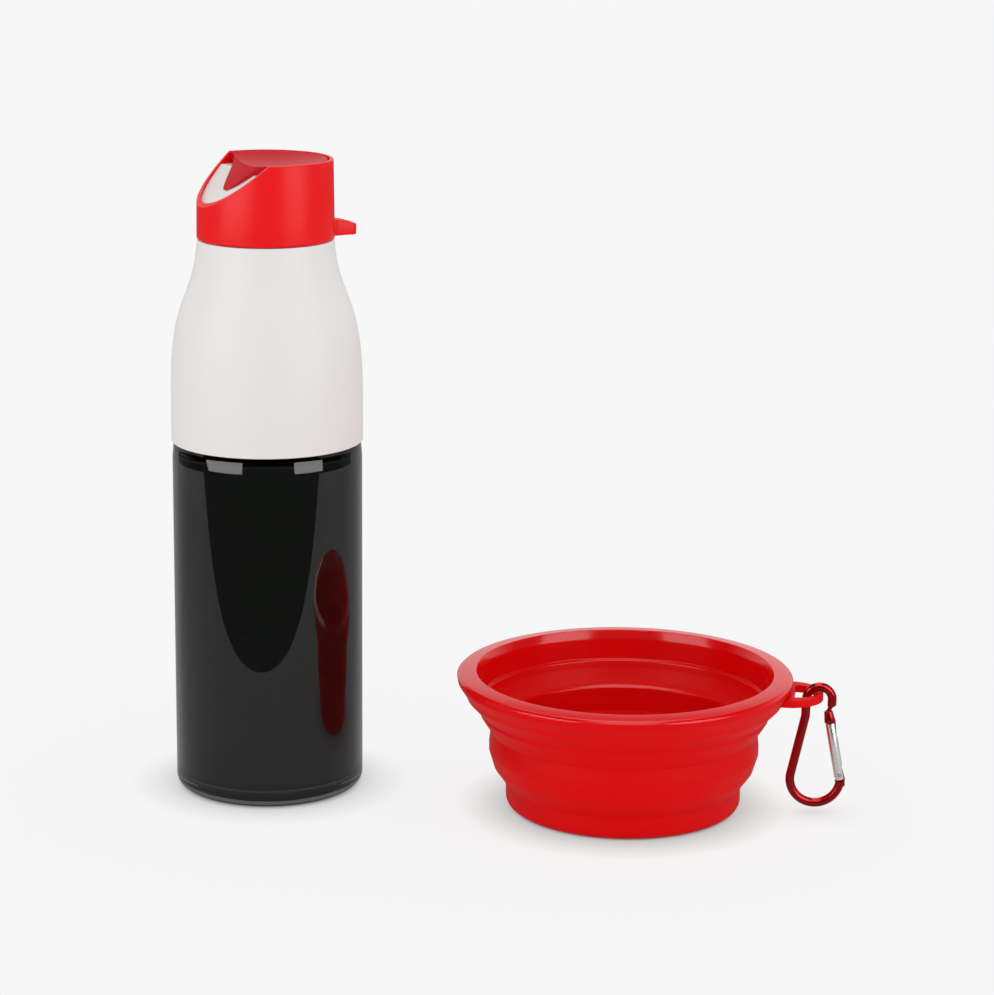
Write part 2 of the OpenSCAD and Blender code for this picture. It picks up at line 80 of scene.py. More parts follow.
def length(name, description, default):
    return FloatProperty(name=name, description=description, default=default * MM,
                         unit="LENGTH", precision=5)


def colour(name, description, default):
    return FloatVectorProperty(name=name, description=description, subtype="COLOR",
                               size=3, min=0, max=1, default=linear(default))


class BottleSizes(bpy.types.PropertyGroup):
    vessel_r: length("Vessel radius", "Outer radius of the smoked vessel", 36.3)
    joint_z: length("Joint height", "Height at which the shell meets the vessel", 137)
    wall: length("Bottle wall", "Wall of the vessel and the shell", 2.1)
    shell_r: length("Shell radius", "Outer radius of the white shell", 36.6)
    shell_top_r: length("Shoulder radius", "Radius of the shell under the cap", 25.9)
    shell_top_z: length("Shoulder height", "Height of the shell under the cap", 214.6)
    cap_r: length("Cap radius", "Outer radius of the cap at its foot", 26.1)
    wire_r: length("Wire radius", "Radius of the snap hook's wire", 1.7)
    gate_r: length("Gate radius", "Radius of the snap hook's gate", 1.9)


class BottleColours(bpy.types.PropertyGroup):
    vessel: colour("Vessel", "Tint of the smoked plastic", "525652")
    shell: colour("Shell", "White of the shell", "e6e4e2")
    insert: colour("Insert", "White of the spout insert", "e6e2df")
    cap: colour("Cap", "Red of the cap", "ee0a10")
    # The lid's red is a darker copy of the cap's red: painted shade for the dish, which faces up.
    lid: colour("Lid", "Red of the lid", "c21420")
    bowl: colour("Bowl", "Red of the silicone bowl", "dd0206")
    hook: colour("Hook", "Red of the anodised wire", "a80c12")
    soft: colour("Soft parts", "Clear silicone of the seals and the plug", "d9d8d2")


# ---------------------------------------------------------------- modelling tools

def only_none():
    if bpy.context.mode != "OBJECT":
        bpy.ops.object.mode_set(mode="OBJECT")
    bpy.ops.object.select_all(action="DESELECT")


def only(obj):
    """Makes this object the one that is selected and active."""
    only_none()
    obj.select_set(True)
    bpy.context.view_layer.objects.active = obj


def edit(obj, kind="VERT"):
    only(obj)
    bpy.ops.object.mode_set(mode="EDIT")
    bpy.ops.mesh.select_mode(type=kind)
    bpy.ops.mesh.select_all(action="DESELECT")


def done():
    bpy.ops.object.mode_set(mode="OBJECT")


def pick(obj, test, kind="verts"):
    """Selects the vertices, edges or faces of the mesh in edit mode that pass the test."""
    mesh = bmesh.from_edit_mesh(obj.data)
    for item in getattr(mesh, kind):
        if test(item):
            item.select_set(True)
    mesh.select_flush_mode()
    bmesh.update_edit_mesh(obj.data)


def new_mesh(name, add, **settings):
    add(**settings)
    obj = bpy.context.active_object
    obj.name = obj.data.name = name
    return obj


def line(name, points):
    """A closed chain of edges through the points, drawn by extruding one vertex."""
    only_none()
    obj = new_mesh(name, bpy.ops.mesh.primitive_plane_add, size=MM)
    bpy.ops.object.mode_set(mode="EDIT")
    bpy.ops.mesh.select_mode(type="VERT")
    bpy.ops.mesh.select_all(action="SELECT")
    bpy.ops.mesh.merge(type="CENTER")
    bpy.ops.transform.translate(value=points[0])
    for a, b in zip(points, points[1:]):
        bpy.ops.mesh.extrude_region_move(TRANSFORM_OT_translate={"value": b - a})
    bpy.ops.mesh.select_all(action="DESELECT")
    mesh = bmesh.from_edit_mesh(obj.data)
    mesh.verts.ensure_lookup_table()
    ends = (mesh.verts[0], mesh.verts[len(points) - 1])
    pick(obj, lambda v: v in ends)
    bpy.ops.mesh.edge_face_add()
    return obj


def rounded(corners, steps=5):
    """A path in millimetres through corners (x, y[, fillet]), each fillet as an arc of steps."""
    path = []
    for i, corner in enumerate(corners):
        here = Vector(corner[:2])
        before, after = Vector(corners[i - 1][:2]), Vector(corners[(i + 1) % len(corners)][:2])
        if len(corner) < 3:
            path.append(here)
            continue
        back, on = (before - here).normalized(), (after - here).normalized()
        half = back.angle(on) / 2
        reach = min(corner[2] / math.tan(half),
                    0.49 * min((before - here).length, (after - here).length))
        r = reach * math.tan(half)
        centre = here + (back + on).normalized() * (r / math.sin(half))
        first = here + back * reach - centre
        swing = first.angle_signed(here + on * reach - centre)
        for k in range(steps + 1):
            path.append(centre + Matrix.Rotation(-swing * k / steps, 2) @ first)
    return path


def curve(points, steps):
    """Points along a cubic curve with four control points."""
    a, b, c, d = [Vector(p) for p in points]
    return [(1 - t) ** 3 * a + 3 * (1 - t) ** 2 * t * b + 3 * (1 - t) * t * t * c + t ** 3 * d
            for t in [k / steps for k in range(steps + 1)]]


def tidy(obj, smooth=35):
    """Merges doubles, turns the normals outwards and shades smooth below an angle."""
    edit(obj)
    bpy.ops.mesh.select_all(action="SELECT")
    bpy.ops.mesh.remove_doubles(threshold=2e-6)
    bpy.ops.mesh.normals_make_consistent(inside=False)
    done()
    if smooth:
        only(obj)
        bpy.ops.object.shade_smooth_by_angle(angle=math.radians(smooth))
    return obj


def turned(name, path, centre=(0, 0), steps=STEPS, smooth=35):
    """A solid of revolution about the vertical through centre; path is (radius, height) in mm."""
    cx, cy = centre[0], centre[1]
    obj = line(name, [Vector((cx + p[0] * MM, cy, p[1] * MM)) for p in path])
    bpy.ops.mesh.select_all(action="SELECT")
    bpy.ops.mesh.spin(steps=steps, angle=TURN, center=(cx, cy, 0), axis=(0, 0, 1))
    return tidy(obj, smooth)


def slab(name, path, low, high):
    """A flat plate: the path (x, y) in mm, filled and extruded from low to high."""
    obj = line(name, [Vector((p[0], p[1], low)) * MM for p in path])
    bpy.ops.mesh.select_all(action="SELECT")
    bpy.ops.mesh.edge_face_add()
    bpy.ops.mesh.extrude_region_move(
        TRANSFORM_OT_translate={"value": (0, 0, (high - low) * MM)})
    return tidy(obj, None)


def bar(name, r, start, end, r2=None, sides=48):
    """A round bar between two points in mm, tapered if it has a second radius."""
    a, b = Vector(start) * MM, Vector(end) * MM
    only_none()
    obj = new_mesh(name, bpy.ops.mesh.primitive_cone_add, vertices=sides, radius1=r * MM,
                   radius2=(r if r2 is None else r2) * MM, depth=(b - a).length)
    turn = (b - a).to_track_quat("Z", "Y").to_matrix().to_4x4()
    return place(obj, Matrix.Translation((a + b) / 2) @ turn)


def block(name, low, high):
    """A box between two corners in mm."""
    a, b = Vector(low) * MM, Vector(high) * MM
    only_none()
    obj = new_mesh(name, bpy.ops.mesh.primitive_cube_add, size=1)
    return place(obj, Matrix.Translation((a + b) / 2) @ Matrix.Diagonal((*(b - a), 1)))


def place(obj, matrix):
    """Moves the mesh itself, so that the object stays at the origin."""
    only(obj)
    obj.matrix_world = matrix @ obj.matrix_world
    bpy.ops.object.transform_apply(location=True, rotation=True, scale=True)
    return obj


def combine(obj, tool, how):
    """Cuts the tool from the object, adds it, or keeps what they share."""
    only(obj)
    bpy.ops.object.modifier_add(type="BOOLEAN")
    mod = obj.modifiers[-1]
    mod.operation, mod.object, mod.solver = how, tool, "EXACT"
    bpy.ops.object.modifier_apply(modifier=mod.name)
    bpy.data.objects.remove(tool)
    return obj


def cut(obj, *tools):
    for tool in tools:
        combine(obj, tool, "DIFFERENCE")
    return obj


def join(obj, *tools):
    for tool in tools:
        combine(obj, tool, "UNION")
    return obj


def slice_off(obj, point, normal, bevel=0):
    """Cuts off what lies beyond a plane, closes the cut and softens its edge."""
    edit(obj)
    bpy.ops.mesh.select_all(action="SELECT")
    bpy.ops.mesh.bisect(plane_co=point, plane_no=normal, use_fill=True, clear_outer=True)
    if bevel:
        bpy.ops.mesh.select_mode(type="EDGE")
        bpy.ops.mesh.select_all(action="DESELECT")
        n = Vector(normal).normalized()

        def on_rim(e):
            flat = all(abs((v.co - Vector(point)).dot(n)) < 1e-6 for v in e.verts)
            return flat and len(e.link_faces) == 2 and e.calc_face_angle(0) > 0.3
        pick(obj, on_rim, "edges")
        bpy.ops.mesh.bevel(offset=bevel * MM, segments=3, affect="EDGES", clamp_overlap=True)
    done()
    return obj


def soften(obj, width, angle=40, segments=3):
    """Rounds every edge sharper than the angle."""
    only(obj)
    bpy.ops.object.modifier_add(type="BEVEL")
    mod = obj.modifiers[-1]
    mod.width, mod.segments = width * MM, segments
    mod.limit_method, mod.angle_limit = "ANGLE", math.radians(angle)
    mod.use_clamp_overlap = True
    bpy.ops.object.modifier_apply(modifier=mod.name)
    return obj


def ridge(name, r_in, r_out, w_in, w_out, pitch, turns, z, start):
    """The helical ridge of a screw, made from its profile with a Screw modifier."""
    section = [(r_in, -w_in / 2), (r_out, -w_out / 2), (r_out, w_out / 2), (r_in, w_in / 2)]
    obj = line(name, [Vector((x, 0, z + y)) * MM for x, y in section])
    done()
    only(obj)
    bpy.ops.object.modifier_add(type="SCREW")
    mod = obj.modifiers[-1]
    mod.axis, mod.angle = "Z", TURN * turns
    mod.screw_offset = pitch * turns * MM
    mod.steps = mod.render_steps = round(72 * turns)
    mod.use_merge_vertices = False
    bpy.ops.object.modifier_apply(modifier=mod.name)
    edit(obj)
    bpy.ops.mesh.select_all(action="SELECT")
    bpy.ops.mesh.fill_holes(sides=4)
    done()
    place(obj, Matrix.Rotation(math.radians(start), 4, "Z"))
    return tidy(obj)


def paint(obj, slot):
    obj.data.materials.clear()
    obj.data.materials.append(LOOKS[slot])


def finish_piece(obj, body, nodes, slot, smooth=35):
    """Gives a finished piece its shading and its material, attaches it to its body when that is
    one name and otherwise only bakes its place into the mesh, and hides the nodes it stands for.
    """
    tidy(obj, smooth)
    paint(obj, slot)
    if isinstance(body, str):
        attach(obj, body)
    else:
        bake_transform(obj)
    if nodes:
        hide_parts(*nodes)
    return obj


# ---------------------------------------------------------------- materials

def add_node(tree, kind, settings=None, links=None):
    """Adds a node, sets its properties or input values, and links sockets to its inputs."""
    node = tree.nodes.new(kind)
    for key, value in (settings or {}).items():
        if isinstance(key, str) and hasattr(node, key):
            setattr(node, key, value)
        else:
            node.inputs[key].default_value = value
    for key, socket in (links or {}).items():
        tree.links.new(socket, node.inputs[key])
    return node


def rgba(value):
    return (*value, 1)


def new_look(name):
    """An empty material with the object's own coordinates; shade() adds its output."""
    look = bpy.data.materials.new(name)
    look.use_nodes = True
    tree = look.node_tree
    tree.nodes.clear()
    return look, tree, add_node(tree, "ShaderNodeTexCoord").outputs["Object"]


def shade(tree, settings, links=None):
    shader = add_node(tree, "ShaderNodeBsdfPrincipled", settings, links)
    add_node(tree, "ShaderNodeOutputMaterial", links={"Surface": shader.outputs["BSDF"]})
    return shader


def grain(tree, coords, size, depth, detail=3.0):
    """A fine relief: size and depth of its grain are in millimetres."""
    noise = add_node(tree, "ShaderNodeTexNoise",
                     {"Scale": 1 / (size * MM), "Detail": detail}, {"Vector": coords})
    bump = add_node(tree, "ShaderNodeBump", {"Strength": 1.0, "Distance": depth * MM},
                    {"Height": noise.outputs["Fac"]})
    return bump.outputs["Normal"]


def spread(tree, coords, size, low, high):
    """A value that wanders from low to high over patches of the given size in millimetres."""
    noise = add_node(tree, "ShaderNodeTexNoise",
                     {"Scale": 1 / (size * MM), "Detail": 2.0}, {"Vector": coords})
    ranged = add_node(tree, "ShaderNodeMapRange",
                      {"From Min": 0.3, "From Max": 0.7, "To Min": low, "To Max": high},
                      {"Value": noise.outputs["Fac"]})
    return ranged.outputs["Result"]


def smoked_vessel(colours):
    """Injection-moulded smoked copolyester: clear to the eye, dark through two walls, and
    glossy enough to mirror the studio floor with only a slight waviness from the mould."""
    look, tree, coords = new_look("smoked_copolyester_moulded")
    wave = grain(tree, coords, 28, 0.012, 1.0)
    shade(tree, {"Base Color": rgba(colours.vessel), "Transmission Weight": 1.0,
                 "IOR": 1.54}, {"Roughness": spread(tree, coords, 14, 0.012, 0.03),
                                "Normal": wave})
    return look


def white_shell(colours):
    """Moulded polypropylene, opaque white: satin, with a broad soft highlight and a slight
    glow of light carried under the surface."""
    look, tree, coords = new_look("white_polypropylene_satin")
    shade(tree, {"Base Color": rgba(colours.shell), "Subsurface Weight": 0.12,
                 "Subsurface Radius": (0.8, 0.7, 0.6), "Subsurface Scale": 0.0015,
                 "IOR": 1.49, "Specular IOR Level": 0.35},
          {"Roughness": spread(tree, coords, 6, 0.46, 0.52),
           "Normal": grain(tree, coords, 0.5, 0.0015)})
    return look


def white_insert(colours):
    """The insert's moulded polypropylene, with a finer tool finish than the shell's."""
    look, tree, coords = new_look("white_polypropylene_insert")
    shade(tree, {"Base Color": rgba(colours.insert), "Subsurface Weight": 0.1,
                 "Subsurface Radius": (0.8, 0.7, 0.6), "Subsurface Scale": 0.001,
                 "IOR": 1.49},
          {"Roughness": spread(tree, coords, 4, 0.34, 0.42),
           "Normal": grain(tree, coords, 0.4, 0.001)})
    return look


def red_gloss(colours):
    """Moulded red ABS with a satin skin: the lamps show on it only as soft upright bands."""
    look, tree, coords = new_look("red_abs_satin_tool")
    shade(tree, {"Base Color": rgba(colours.cap), "IOR": 1.53, "Specular IOR Level": 0.14},
          {"Roughness": spread(tree, coords, 9, 0.3, 0.36),
           "Normal": grain(tree, coords, 9, 0.004, 1.0)})
    return look


def red_lid(colours):
    """Moulded red ABS from a blasted tool: the fine texture spreads the light, so the dish reads
    flat and paler than the cap. Its red is a darker copy of the cap's red: painted shade for the
    dish, which faces up."""
    look, tree, coords = new_look("red_abs_blasted_tool")
    # The base colour is the lid's painted shade, a darker red than the cap's.
    shade(tree, {"Base Color": rgba(colours.lid), "IOR": 1.53, "Specular IOR Level": 0.016},
          {"Roughness": spread(tree, coords, 3, 0.3, 0.34)})
    return look


def red_silicone(colours, name):
    """Compression-moulded silicone rubber: deep red, soft sheen, light bleeding a little at
    thin edges. The mould is blasted, but polished for the lip and for the fold line
    inside, so only those catch sharp light."""
    look, tree, coords = new_look(name)
    height = add_node(tree, "ShaderNodeSeparateXYZ", links={"Vector": coords}).outputs["Z"]
    level = add_node(tree, "ShaderNodeVectorMath", {"operation": "MULTIPLY", 1: (1, 1, 0)},
                     {0: coords}).outputs["Vector"]
    radius = add_node(tree, "ShaderNodeVectorMath", {"operation": "DISTANCE", 1: BOWL},
                      {0: level}).outputs["Value"]
    brink = add_node(tree, "ShaderNodeMapRange",
                     {"From Min": 57 * MM, "From Max": 64 * MM, "To Min": 40.5 * MM,
                      "To Max": 51 * MM}, {"Value": radius}).outputs["Result"]
    lip = add_node(tree, "ShaderNodeMath", {"operation": "GREATER_THAN"},
                   {0: height, 1: brink}).outputs[0]
    fold = add_node(tree, "ShaderNodeMath", {"operation": "COMPARE", 1: 31.5 * MM,
                                             2: 0.6 * MM}, {0: height}).outputs[0]
    inside = add_node(tree, "ShaderNodeMath", {"operation": "LESS_THAN", 1: 50.8 * MM},
                      {0: radius}).outputs[0]
    fold = add_node(tree, "ShaderNodeMath", {"operation": "MULTIPLY"},
                    {0: fold, 1: inside}).outputs[0]
    polish = add_node(tree, "ShaderNodeMath", {"operation": "MAXIMUM"},
                      {0: lip, 1: fold}).outputs[0]
    rough = add_node(tree, "ShaderNodeMapRange", {"To Max": 0.15},
                     {"Value": polish, "To Min": spread(tree, coords, 8, 0.42, 0.5)})
    gleam = add_node(tree, "ShaderNodeMapRange", {"To Min": 0.09, "To Max": 0.45},
                     {"Value": polish})
    shade(tree, {"Base Color": rgba(colours.bowl), "IOR": 1.43, "Subsurface Weight": 0.08,
                 "Subsurface Radius": (1.0, 0.12, 0.08), "Subsurface Scale": 0.002},
          {"Specular IOR Level": gleam.outputs["Result"],
           "Roughness": rough.outputs["Result"],
           "Normal": grain(tree, coords, 0.6, 0.003)})
    return look


def clear_silicone(colours):
    """Translucent liquid silicone: milky, softly shining."""
    look, tree, coords = new_look("clear_silicone_moulded")
    shade(tree, {"Base Color": rgba(colours.soft), "IOR": 1.41,
                 "Subsurface Weight": 0.4, "Subsurface Radius": (1.0, 1.0, 0.9),
                 "Subsurface Scale": 0.002},
          {"Roughness": spread(tree, coords, 3, 0.3, 0.38),
           "Normal": grain(tree, coords, 0.3, 0.001)})
    return look


def red_anodised(colours):
    """Aluminium wire, tumbled, then dyed red in the anodising bath: the metal shines through
    the dye, so the highlights stay red and the flanks go nearly black."""
    look, tree, coords = new_look("red_anodised_aluminium_wire")
    shade(tree, {"Base Color": rgba(colours.hook), "Metallic": 1.0,
                 "Coat Weight": 0.35, "Coat Roughness": 0.12},
          {"Roughness": spread(tree, coords, 1.5, 0.24, 0.34),
           "Normal": grain(tree, coords, 0.5, 0.002)})
    return look


def drawn_metal(name, value, low, high):
    """Bare metal: fine marks along the piece soften its reflections."""
    look, tree, coords = new_look(name)
    shade(tree, {"Base Color": (value, value, value * 0.99, 1), "Metallic": 1.0},
          {"Roughness": spread(tree, coords, 1.2, low, high),
           "Normal": grain(tree, coords, 0.4, 0.001)})
    return look


LOOKS = {}


def make_looks(colours):
    LOOKS.clear()
    LOOKS.update({
        "smoked_vessel": smoked_vessel(colours),
        "white_shell": white_shell(colours),
        "white_insert": white_insert(colours),
        "red_cap": red_gloss(colours),
        "red_lid": red_lid(colours),
        "red_silicone": red_silicone(colours, "red_silicone_bowl_wall"),
        "red_rim": red_silicone(colours, "red_silicone_bowl_lip"),
        "clear_silicone": clear_silicone(colours),
        "red_anodised": red_anodised(colours),
        "polished_gate": drawn_metal("aluminium_tube_bright_drawn", 0.95, 0.26, 0.34),
        "steel_pin": drawn_metal("steel_pin_ground", 0.62, 0.2, 0.3),
        "spring_steel": drawn_metal("spring_steel_wire_drawn", 0.45, 0.28, 0.38),
    })


# ---------------------------------------------------------------- stage

class BOTTLE_OT_stage(bpy.types.Operator):
    """Camera, floor, surroundings and the two softboxes"""
    bl_idname = "bottle.stage"
    bl_label = "Stage"

    def execute(self, context):
        scene = context.scene
        scene.view_settings.view_transform = "Standard"
        pitch, roll = CAMERA_PITCH, CAMERA_ROLL
        ahead = Vector((0, math.cos(pitch), -math.sin(pitch)))
        lift = Vector((0, math.sin(pitch), math.cos(pitch)))
        right = math.cos(roll) * Vector((1, 0, 0)) + math.sin(roll) * lift
        up = -math.sin(roll) * Vector((1, 0, 0)) + math.cos(roll) * lift
        bpy.ops.object.camera_add(location=(0, 0, 0))
        camera = context.active_object
        camera.name = "camera"
        camera.matrix_world = (Matrix.Translation(CAMERA_SPOT)
                               @ Matrix((right, up, -ahead)).transposed().to_4x4())
        camera.data.sensor_fit = "VERTICAL"
        camera.data.sensor_width = camera.data.sensor_height = CAMERA_SENSOR
        camera.data.lens = CAMERA_LENS
        camera.data.clip_start, camera.data.clip_end = 0.05, 50
        scene.camera = camera

        bpy.ops.mesh.primitive_plane_add(size=1)
        floor = context.active_object
        floor.name = "floor"
        place(floor, Matrix.Translation(FLOOR_CENTRE) @ Matrix.Rotation(FLOOR_TURN, 4, "Z")
              @ Matrix.Diagonal((*FLOOR_SIZE, 1, 1)))
        floor.data.materials.append(self.paper())

        self.softbox("softbox_left", -50, 0.72)
        self.softbox("softbox_right", 54, 0.53)
        self.surroundings(scene)
        return {"FINISHED"}

    def paper(self):
        """Matt paper that glows a little, with a close shadow where something stands on it:
        paler to the eye, darker as it shows in glossy pieces, darker still behind them."""
        look, tree, coords = new_look("studio_floor_matt_paper")
        path = add_node(tree, "ShaderNodeLightPath").outputs
        contact = add_node(tree, "ShaderNodeAmbientOcclusion",
                           {"samples": 24, "Distance": 0.02, "Normal": (0, 0.92, 0.39)})
        shadow = add_node(tree, "ShaderNodeMath", {"operation": "POWER", 1: 0.5},
                          {0: contact.outputs["AO"]}).outputs[0]
        depth = add_node(tree, "ShaderNodeSeparateXYZ", links={"Vector": coords}).outputs["Y"]
        behind = add_node(tree, "ShaderNodeMapRange",
                          {"From Min": -0.04, "From Max": 0.12, "To Min": 0.29,
                           "To Max": 0.17}, {"Value": depth}).outputs["Result"]
        glow = add_node(tree, "ShaderNodeMapRange", {"To Min": 0.55},
                        {"Value": path["Is Glossy Ray"], "To Max": behind}).outputs["Result"]
        glow = add_node(tree, "ShaderNodeMapRange", {"To Max": 0.82},
                        {"Value": path["Is Camera Ray"], "To Min": glow}).outputs["Result"]
        glow = add_node(tree, "ShaderNodeMath", {"operation": "MULTIPLY"},
                        {0: glow, 1: shadow}).outputs[0]
        base = add_node(tree, "ShaderNodeMapRange", {"To Min": 0.38, "To Max": 0.19},
                        {"Value": path["Is Glossy Ray"]}).outputs["Result"]
        base = add_node(tree, "ShaderNodeMapRange", {"To Max": 0.11},
                        {"Value": path["Is Camera Ray"], "To Min": base}).outputs["Result"]
        shade(tree, {"Roughness": 0.9, "Specular IOR Level": 0.0,
                     "Emission Color": (1, 1, 1, 1)},
              {"Base Color": base, "Emission Strength": glow})
        return look

    def softbox(self, name, azimuth, width):
        """An upright lamp beside the camera, seen only as it shines on glossy pieces."""
        a = math.radians(azimuth)
        spot = Vector((math.sin(a), -math.cos(a), 0)) * LAMP_DISTANCE
        bpy.ops.object.light_add(type="AREA", location=(spot.x, spot.y, LAMP_MIDDLE))
        lamp = bpy.context.active_object
        lamp.name = name
        lamp.rotation_euler = spot.to_track_quat("Z", "Y").to_euler()
        lamp.data.shape = "RECTANGLE"
        lamp.data.size, lamp.data.size_y = width, LAMP_HEIGHT
        lamp.data.energy = math.pi * width * LAMP_HEIGHT * LAMP_RADIANCE
        lamp.visible_camera = lamp.visible_diffuse = False

    def surroundings(self, scene):
        """Even white all round, but glossy pieces see it only low behind them and in a strip
        overhead: each of the two is a product of ramps over the direction."""
        world = scene.world or bpy.data.worlds.new("studio")
        scene.world = world
        world.use_nodes = True
        tree = world.node_tree
        tree.nodes.clear()
        path = add_node(tree, "ShaderNodeLightPath").outputs
        way = add_node(tree, "ShaderNodeTexCoord").outputs["Generated"]
        part = add_node(tree, "ShaderNodeSeparateXYZ", links={"Vector": way}).outputs
        across = add_node(tree, "ShaderNodeMath", {"operation": "ABSOLUTE"},
                          {0: part["X"]}).outputs[0]
        low_behind = ((part["Y"], 0.1, 0.45, 0.08, 0.9), (part["Z"], 0.34, 0.54, 1.0, 0.1),
                      (part["Z"], -0.01, 0.01, 0.09, 1.0))
        overhead = ((part["Z"], 0.58, 0.66, 0.0, 2.4), (across, 0.2, 0.3, 1.0, 0.0))
        lights = []
        for ramps in (low_behind, overhead):
            light = None
            for value, start, end, first, last in ramps:
                ramp = add_node(tree, "ShaderNodeMapRange",
                                {"From Min": start, "From Max": end, "To Min": first,
                                 "To Max": last}, {"Value": value}).outputs["Result"]
                light = ramp if light is None else add_node(
                    tree, "ShaderNodeMath", {"operation": "MULTIPLY"},
                    {0: light, 1: ramp}).outputs[0]
            lights.append(light)
        mirror = add_node(tree, "ShaderNodeMath", {"operation": "ADD"},
                          {0: lights[0], 1: lights[1]}).outputs[0]
        level = add_node(tree, "ShaderNodeMapRange", {"To Min": 1.0},
                         {"Value": path["Is Glossy Ray"], "To Max": mirror}).outputs["Result"]
        seen = add_node(tree, "ShaderNodeMath", {"operation": "MAXIMUM"},
                        {0: path["Is Camera Ray"], 1: path["Is Transmission Ray"]}).outputs[0]
        level = add_node(tree, "ShaderNodeMapRange", {"To Max": 0.93},
                         {"Value": seen, "To Min": level}).outputs["Result"]
        sky = add_node(tree, "ShaderNodeBackground", {"Color": (1, 1, 1, 1)},
                       {"Strength": level})
        add_node(tree, "ShaderNodeOutputWorld", links={"Surface": sky.outputs["Background"]})


# ---------------------------------------------------------------- bottle

def shoulder(sizes, inset, steps=28):
    """Outline of the shell's shoulder in mm, moved in by inset."""
    r, top_r = sizes.shell_r / MM - inset, sizes.shell_top_r / MM - inset
    z, top = sizes.joint_z / MM, sizes.shell_top_z / MM
    return curve([(r, z + 17.5), (r, z + 58), (27.8 - inset, z + 52.5), (top_r, top)], steps)


class BOTTLE_OT_vessel(bpy.types.Operator):
    """Smoked vessel with its screw ridge"""
    bl_idname = "bottle.vessel"
    bl_label = "Vessel"

    def execute(self, context):
        sizes = context.scene.bottle_sizes
        r, z, wall = sizes.vessel_r / MM, sizes.joint_z / MM, sizes.wall / MM
        waist, neck, mouth = math.tan(math.radians(4.8)) * 5, 33, 30.6
        path = rounded([
            (0, 2), (r - 10.3, 2, 1.2), (r - 8.9, 0, 0.8), (r, 0, 7.3), (r, z - 6.3, 16),
            (r - waist, z - 1.3, 12), (r - waist, z), (neck, z, 0.3), (neck, z + 13, 0.3),
            (mouth, z + 13, 0.3), (mouth, z - 0.6, 1.2), (r - wall, z - 3, 4.5),
            (r - wall, 2 + wall, 5), (0, 2 + wall)], 8)
        vessel = turned("vessel", path, steps=160)
        thread = ridge("vessel_thread", 32.7, 34.1, 1.3, 0.6, 4, 1.5, z + 3.5, 0)
        finish_piece(vessel, "vessel", ["bottle_lower"], "smoked_vessel")
        finish_piece(thread, "vessel", [], "smoked_vessel")
        return {"FINISHED"}


class BOTTLE_OT_shell(bpy.types.Operator):
    """White shell with the screws at both of its ends"""
    bl_idname = "bottle.shell"
    bl_label = "Shell"

    def execute(self, context):
        sizes = context.scene.bottle_sizes
        r, z, wall = sizes.shell_r / MM, sizes.joint_z / MM, sizes.wall / MM
        top = sizes.shell_top_z / MM
        inner = list(reversed(shoulder(sizes, wall)[4:-1]))
        outer = [tuple(p) for p in shoulder(sizes, 0)]
        path = rounded(
            [(r - wall, z + 0.2, 0.2), (r, z + 0.2, 0.4)] + outer[:-1]
            + [(*outer[-1], 0.3), (22.6, top, 0.4), (22.6, top + 10.9, 0.4),
               (20.4, top + 10.9, 0.4), (20.4, top, 1.0)]
            + [tuple(p) for p in inner]
            + [(inner[-1][0], z + 17.5), (31, z + 16.5), (31, z + 14.5), (r - wall, z + 14.5)], 5)
        shell = turned("shell", path)
        finish_piece(shell, "shell", ["bottle_upper"], "white_shell")
        for thread in (
                ridge("shell_mouth_thread", 22.3, 23.7, 1.3, 0.6, 3, 1.5, top + 3.1, 0),
                ridge("shell_skirt_thread", r - wall - 1.1, r - wall + 0.3, 0.6, 1.3, 4, 1,
                      z + 1.5 + 4 * 30 / 360, 30)):
            finish_piece(thread, "shell", [], "white_shell")
        return {"FINISHED"}


# ---------------------------------------------------------------- cap and lid

CAP_TURN = Matrix.Rotation(math.radians(22), 4, "Z")
CAP_FOOT, CAP_TOP = 214.9, 245
DECK = 227
AXLE_X, AXLE_Z = 8, 241.2
EAR_Y = 16.2
PLUG_X, PLUG_Z = -10.2, 234.8
BED_SLOPE = math.radians(42.3)
SLOPE_TOP = Vector((-6.4, 0, CAP_TOP)) * MM


def axle_bar(name, r, start, end):
    """A round bar on the lid's axle, between two places across it."""
    return bar(name, r, (AXLE_X, start, AXLE_Z), (AXLE_X, end, AXLE_Z))


def slope_normal(degrees):
    lean = math.radians(degrees)
    return Vector((-math.sin(lean), 0, math.cos(lean)))


def bed_tool(name, gap):
    """All that lies over the white bed: above the lowered slope, with a round sag below it."""
    r, sag, reach = 110, 2.6, 60
    edge = math.sqrt(r * r - (r - sag) ** 2)
    arc = [(edge * k / 14, r - sag - math.sqrt(r * r - (edge * k / 14) ** 2))
           for k in range(15)]
    tool = turned(name, arc + [(reach, 0), (reach, 50), (0, 50)], steps=96, smooth=None)
    rise = math.tan(BED_SLOPE)
    spot = Vector((-8, 0, CAP_TOP - 1.1 + gap + (7.3 - 8) * rise)) * MM
    return place(tool, Matrix.Translation(spot) @ Matrix.Rotation(-BED_SLOPE, 4, "Y"))


